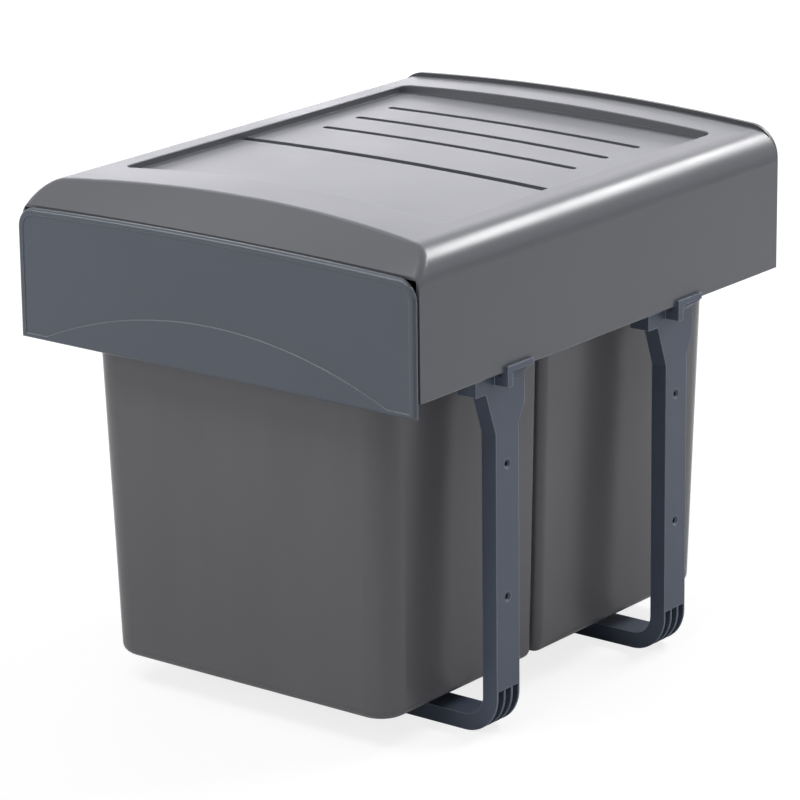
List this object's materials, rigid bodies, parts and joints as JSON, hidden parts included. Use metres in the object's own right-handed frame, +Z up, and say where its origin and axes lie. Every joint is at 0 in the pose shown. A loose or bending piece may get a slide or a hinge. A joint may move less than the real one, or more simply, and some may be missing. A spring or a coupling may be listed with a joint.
{
  "type": "pull out bin frame",
  "caption": "Under-cabinet pull-out waste bin unit: hood on U brackets, bins hanging in a carrier that runs out on telescopic ball rails behind a front panel.",
  "frame": {"origin": "middle of the overall width and depth, on the floor under the brackets", "axes": "+X to the right seen from the front, +Y to the rear (the drawer comes out along -Y), +Z up"},
  "size_m": [0.3552, 0.4368, 0.3763],
  "materials": {
    "hood_plastic": "fine satin grain, silver grey",
    "panel_plastic": "semi-gloss blue-grey",
    "bracket_plastic": "satin slate grey, moulded",
    "bin_plastic": "glossy moulded warm grey",
    "zinc_plated_steel": "bright zinc plate",
    "carrier_steel": "grey powder coat",
    "cage_plastic": "natural moulded",
    "ball_steel": "polished bearing steel",
    "buffer_rubber": "soft black"
  },
  "bodies": {
    "base": {"hood_cover": "hood_plastic", "rear_plate": "hood_plastic", "front_bracket": "bracket_plastic", "rear_bracket": "bracket_plastic", "outer_rail_right": "zinc_plated_steel", "outer_rail_left": "zinc_plated_steel", "rail_buffer_right": "buffer_rubber", "rail_buffer_left": "buffer_rubber", "rail_screws": "zinc_plated_steel"},
    "middle_rails": {"middle_rail_right": "zinc_plated_steel", "middle_rail_left": "zinc_plated_steel"},
    "outer_cages": {"outer_cage_right": "cage_plastic", "outer_cage_left": "cage_plastic", "outer_balls_right": "ball_steel", "outer_balls_left": "ball_steel"},
    "inner_cages": {"inner_cage_right": "cage_plastic", "inner_cage_left": "cage_plastic", "inner_balls_right": "ball_steel", "inner_balls_left": "ball_steel"},
    "carrier": {"bin_carrier": "carrier_steel", "inner_rail_right": "zinc_plated_steel", "inner_rail_left": "zinc_plated_steel", "panel_arm_right": "zinc_plated_steel", "panel_arm_left": "zinc_plated_steel", "front_panel": "panel_plastic", "carrier_screws": "zinc_plated_steel", "arm_screws": "zinc_plated_steel", "panel_screws": "zinc_plated_steel"},
    "front_bin": {"front_bin": "bin_plastic"},
    "rear_bin": {"rear_bin": "bin_plastic"}
  },
  "joints": [
    {"name": "drawer_slide", "type": "slide", "parent": "base", "child": "carrier", "axis": [0, -1, 0], "range_m": [0, 0.4]},
    {"name": "middle_rail_slide", "type": "slide", "parent": "base", "child": "middle_rails", "axis": [0, -1, 0], "range_m": [0, 0.2]},
    {"name": "outer_cage_slide", "type": "slide", "parent": "base", "child": "outer_cages", "axis": [0, -1, 0], "range_m": [0, 0.1]},
    {"name": "inner_cage_slide", "type": "slide", "parent": "base", "child": "inner_cages", "axis": [0, -1, 0], "range_m": [0, 0.3]},
    {"name": "front_bin_lift", "type": "slide", "parent": "carrier", "child": "front_bin", "axis": [0, 0, 1], "range_m": [0, 0.0045]},
    {"name": "rear_bin_lift", "type": "slide", "parent": "carrier", "child": "rear_bin", "axis": [0, 0, 1], "range_m": [0, 0.0045]}
  ],
  "couplings": [
    {"joint": "middle_rail_slide", "follows": "drawer_slide", "ratio": 0.5},
    {"joint": "outer_cage_slide", "follows": "drawer_slide", "ratio": 0.25},
    {"joint": "inner_cage_slide", "follows": "drawer_slide", "ratio": 0.75}
  ]
}
